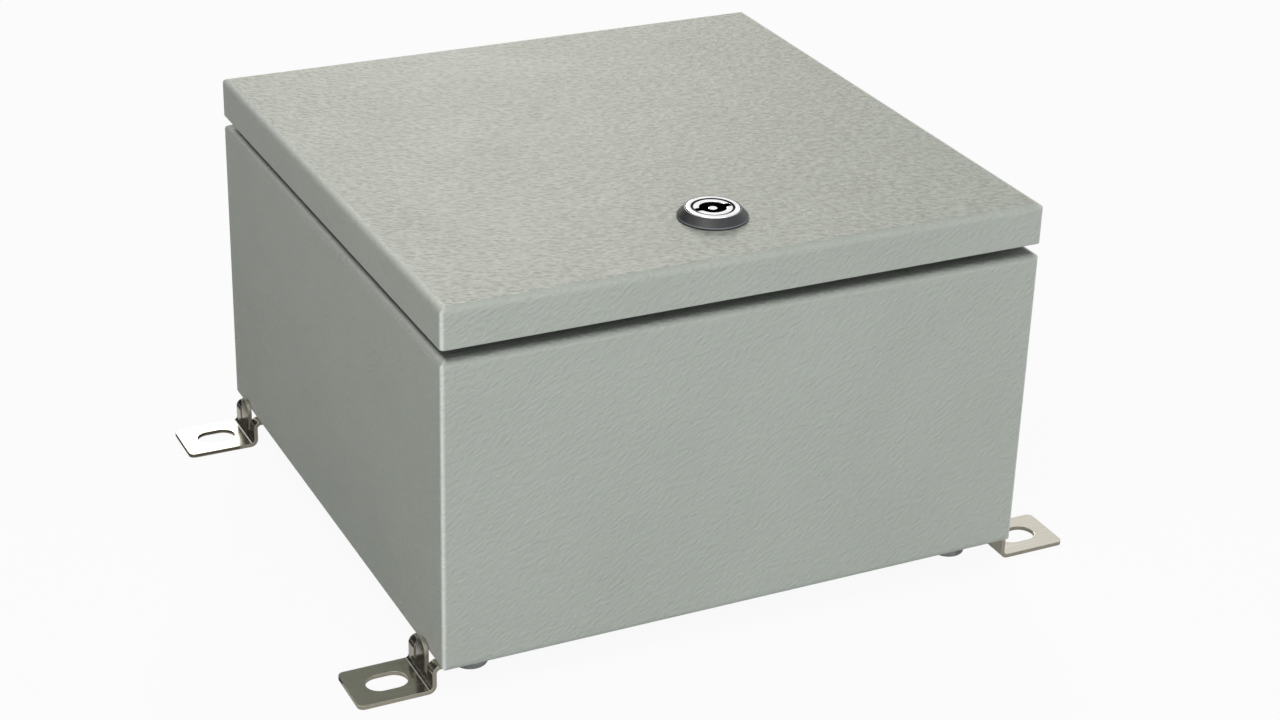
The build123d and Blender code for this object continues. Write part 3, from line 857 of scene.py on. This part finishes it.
# Lock housing and nut: a die-cast barrel with a flange, polished and chromed, and a fine thread below the
# door. Painted shade blackens its bore and the bore's edge, round the rotor. A thin zinc-plated hexagon nut on
# the thread draws the flange down on the collar.
housing_flange_radius = 0.0125
housing_flange_height = 0.0028
housing_flange_ease = 0.0006
housing_bore = 0.00975
housing_bore_depth = 0.0085
housing_bore_ease = 0.0002
housing_shaft_bore = 0.00605
housing_barrel_radius = 0.011
housing_pitch = 0.0015
chrome_dark = (236, 237, 239)
chrome_light = (246, 247, 248)
chrome_patch = 0.006
chrome_roughness = (0.05, 0.11)
chrome_relief = 0.000002
chrome_edge = 0.00025
painted_recess_shade = (16, 16, 17)
recess_shade_roughness = 0.6
bore_shade_reach = 0.0005


def chrome_plating(name):
    """The lock's bright plating."""
    return metal_finish(
        name, chrome_dark, chrome_light, chrome_patch, (1, 1, 1), chrome_roughness, chrome_relief, chrome_edge
    )


chrome = chrome_plating("polished_chrome")
housing_low, housing_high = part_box("lock_housing")
housing_outline = eased([
    (housing_barrel_radius, housing_high.z - housing_flange_height, 0),
    (housing_flange_radius, housing_high.z - housing_flange_height, 0),
    (housing_flange_radius, housing_high.z, housing_flange_ease),
    (housing_bore, housing_high.z, housing_bore_ease),
    (housing_bore, housing_high.z - housing_bore_depth, 0),
    (housing_shaft_bore, housing_high.z - housing_bore_depth, 0),
    (housing_shaft_bore, housing_low.z, 0),
])
housing_thread = threaded(housing_barrel_radius, housing_pitch, door_high.z, housing_low.z)
housing = turned("lock_barrel", housing_outline + housing_thread[::-1], lock_axis, hollow=True)


def lock_reach(tree):
    """How far a point of the lock lies from its axis."""
    place = add_node(tree, "ShaderNodeTexCoord").outputs["Object"]
    offset = add_node(tree, "ShaderNodeVectorMath", {0: place, 1: (*lock_axis[0], 0)}, operation="SUBTRACT")
    level = add_node(tree, "ShaderNodeVectorMath", {0: offset.outputs[0], 1: (1, 1, 0)}, operation="MULTIPLY")
    return add_node(tree, "ShaderNodeVectorMath", {0: level.outputs[0]}, operation="LENGTH").outputs["Value"]


chrome_tree = chrome.node_tree
# Painted shade: the bore and its edge are black.
in_shaded_bore = calculate(chrome_tree, "LESS_THAN", lock_reach(chrome_tree), housing_bore + bore_shade_reach)
lay_over(chrome, in_shaded_bore, painted_recess_shade, recess_shade_roughness)
put_in_place(housing, chrome, "chrome", "door", "lock_housing")
wear(zinc, "lock_nut")


# Lock rotor and cam: the rotor is a chromed die casting with a keyhole round a pin; painted shade blackens the
# keyhole and the rotor's rim. A steel cam on its square end is held by a washer and a slotted screw, all zinc
# plated.
keyhole_bottom = 0.1930
keyhole_top = 0.19835
rotor_radius = 0.00935
rotor_rim_shade_width = 0.0004

rotor_chrome = chrome_plating("rotor_chrome")
rotor_tree = rotor_chrome.node_tree
rotor_place = add_node(rotor_tree, "ShaderNodeTexCoord").outputs["Object"]
rotor_height = add_node(rotor_tree, "ShaderNodeSeparateXYZ", {0: rotor_place}).outputs["Z"]
# Painted shade: the keyhole below the rotor's face and the rotor's rim are black.
in_keyhole = calculate(
    rotor_tree,
    "MULTIPLY",
    calculate(rotor_tree, "LESS_THAN", rotor_height, keyhole_top),
    calculate(rotor_tree, "GREATER_THAN", rotor_height, keyhole_bottom),
)
on_rim = calculate(rotor_tree, "GREATER_THAN", lock_reach(rotor_tree), rotor_radius - rotor_rim_shade_width)
rotor_shade_mask = calculate(rotor_tree, "MAXIMUM", in_keyhole, on_rim)
lay_over(rotor_chrome, rotor_shade_mask, painted_recess_shade, recess_shade_roughness)
wear(rotor_chrome, "lock_rotor")
wear(zinc, "lock_cam", "cam_washer", "cam_screw")


# Floor: a plain white studio floor. It shows as white to the camera, paler than its own lit colour, and keeps
# the object's shadow.
floor_size = 14.0
floor_white = 0.74
floor_glow = 1.0
floor_seen_share = 0.93
floor_mirrored_share = 0.15


def flat_sheet(name, width, height):
    """A rectangle about its own middle, not yet in the scene."""
    mesh = bpy.data.meshes.new(name)
    corners = [(x * width / 2, y * height / 2, 0) for x, y in ((-1, -1), (1, -1), (1, 1), (-1, 1))]
    mesh.from_pydata(corners, [], [(0, 1, 2, 3)])
    return bpy.data.objects.new(name, mesh)


floor = flat_sheet("floor", floor_size, floor_size)
bpy.context.scene.collection.objects.link(floor)


def seen_share(tree, to_camera, in_mirrors):
    """A share for rays that show the background itself: to the camera, or in a reflection or through glass."""
    path = add_node(tree, "ShaderNodeLightPath").outputs
    mirrored = calculate(tree, "MAXIMUM", path["Is Glossy Ray"], path["Is Transmission Ray"])
    return calculate(
        tree,
        "MAXIMUM",
        calculate(tree, "MULTIPLY", path["Is Camera Ray"], to_camera),
        calculate(tree, "MULTIPLY", mirrored, in_mirrors),
    )


floor_finish, floor_tree, floor_shader = new_finish("white_floor", 0)
floor_shader.inputs["Base Color"].default_value = (floor_white, floor_white, floor_white, 1)
floor_shader.inputs["Roughness"].default_value = 1
floor_shader.inputs["Specular IOR Level"].default_value = 0
glow = add_node(floor_tree, "ShaderNodeEmission", {"Color": (1, 1, 1, 1), "Strength": floor_glow})
floor_mix = add_node(
    floor_tree,
    "ShaderNodeMixShader",
    {
        0: seen_share(floor_tree, floor_seen_share, floor_mirrored_share),
        1: floor_shader.outputs[0],
        2: glow.outputs[0],
    },
)
floor_tree.links.new(floor_mix.outputs[0], floor_tree.nodes["Material Output"].inputs["Surface"])
floor.data.materials.append(floor_finish)


# Light: a white studio with a warm softbox overhead, a cooler one in front, a low one that rakes over the door
# from behind and a small one that shines in the metal. A dark board beside the box keeps its left side in shade,
# and a dark card beside the brackets on that side shows in their bright steel.
ambient_strength = 0.30
ambient_colour = (250, 255, 255)
background_white = (255, 255, 255)
overhead_tint = (1.0, 0.95, 0.92)
front_tint = (0.95, 0.99, 1.0)
low_tint = (1.0, 0.95, 0.87)
rear_tint = (1.0, 0.985, 0.95)
board_black = (30, 30, 30)

world = bpy.data.worlds.new("studio")
bpy.context.scene.world = world
world.use_nodes = True
world_tree = world.node_tree
sky = world_tree.nodes["Background"]
sky_share = seen_share(world_tree, 1, 1)
sky_colour = blend_colours(world_tree, sky_share, ambient_colour, background_white)
world_tree.links.new(sky_colour, sky.inputs["Color"])
world_tree.links.new(blend_values(world_tree, sky_share, ambient_strength, 1), sky.inputs["Strength"])
middle = (cad_low + cad_high) / 2


def face_to(thing, place, aim):
    """Puts a lamp or a board in its place, turned to its aim."""
    bpy.context.scene.collection.objects.link(thing)
    thing.location = place
    thing.rotation_mode = "QUATERNION"
    thing.rotation_quaternion = (Vector(place) - Vector(aim)).to_track_quat("Z", "Y")


def softbox(name, place, size, power, tint):
    """A rectangular studio lamp turned to the object."""
    lamp = bpy.data.lights.new(name, "AREA")
    lamp.shape = "RECTANGLE"
    lamp.size, lamp.size_y = size
    lamp.energy = power
    lamp.color = tint
    face_to(bpy.data.objects.new(name, lamp), place, middle)


softbox("overhead_softbox", place=(-0.64, -0.50, 1.28), size=(0.8, 0.6), power=5.3, tint=overhead_tint)
softbox("front_softbox", place=(-0.20, -2.20, 1.10), size=(3.0, 2.2), power=26.5, tint=front_tint)
softbox("low_softbox", place=(1.55, 4.00, 2.40), size=(0.7, 1.2), power=66, tint=low_tint)
softbox("rear_softbox", place=(0.30, 1.25, 0.60), size=(0.45, 0.30), power=0.95, tint=rear_tint)

board_finish, _, board_shader = new_finish("dark_board", 0)
board_shader.inputs["Base Color"].default_value = screen_colour(*board_black)
board_shader.inputs["Roughness"].default_value = 1


def dark_board(name, place, aim, width, height):
    """A dark board that the camera doesn't see."""
    board = flat_sheet(name, width, height)
    board.data.materials.append(board_finish)
    face_to(board, place, aim)
    board.visible_camera = False
    return board


dark_board("dark_board", place=(-0.57, 0.80, 0.55), aim=(0, 0, 0.55), width=0.70, height=1.10)
card = dark_board("dark_card", place=(-0.23, 0.19, 0.0005), aim=(-0.23, 0.19, -1), width=0.14, height=0.62)
card.visible_shadow = False
card.visible_diffuse = False


# Camera: at the photograph's angle and distance, found from the box's corners in it. It is placed by its turn,
# rise, roll and distance from a point on the box's middle line.
view_turn = math.radians(-26.46)
view_rise = math.radians(26.19)
view_roll = math.radians(1.72)
view_distance = 1.28784
view_aside = -0.01534
view_up = 0.02716
photo_width = 1280
focal_pixels = 2571.0
sensor = 36.0
aim_height = 0.104

camera_data = bpy.data.cameras.new("camera")
camera_data.sensor_width = sensor
camera_data.sensor_fit = "HORIZONTAL"
camera_data.lens = focal_pixels * sensor / photo_width
camera = bpy.data.objects.new("camera", camera_data)
bpy.context.scene.collection.objects.link(camera)
bpy.context.scene.camera = camera
backward = Vector((
    math.sin(view_turn) * math.cos(view_rise),
    -math.cos(view_turn) * math.cos(view_rise),
    math.sin(view_rise),
))
level_right = Vector((0, 0, 1)).cross(backward).normalized()
level_up = backward.cross(level_right)
right = math.cos(view_roll) * level_right + math.sin(view_roll) * level_up
up = math.cos(view_roll) * level_up - math.sin(view_roll) * level_right
eye = Vector((0, 0, aim_height)) + backward * view_distance - right * view_aside - up * view_up
camera.matrix_world = Matrix.Translation(eye) @ Matrix((right, up, backward)).transposed().to_4x4()
bpy.context.scene.view_settings.view_transform = "Standard"
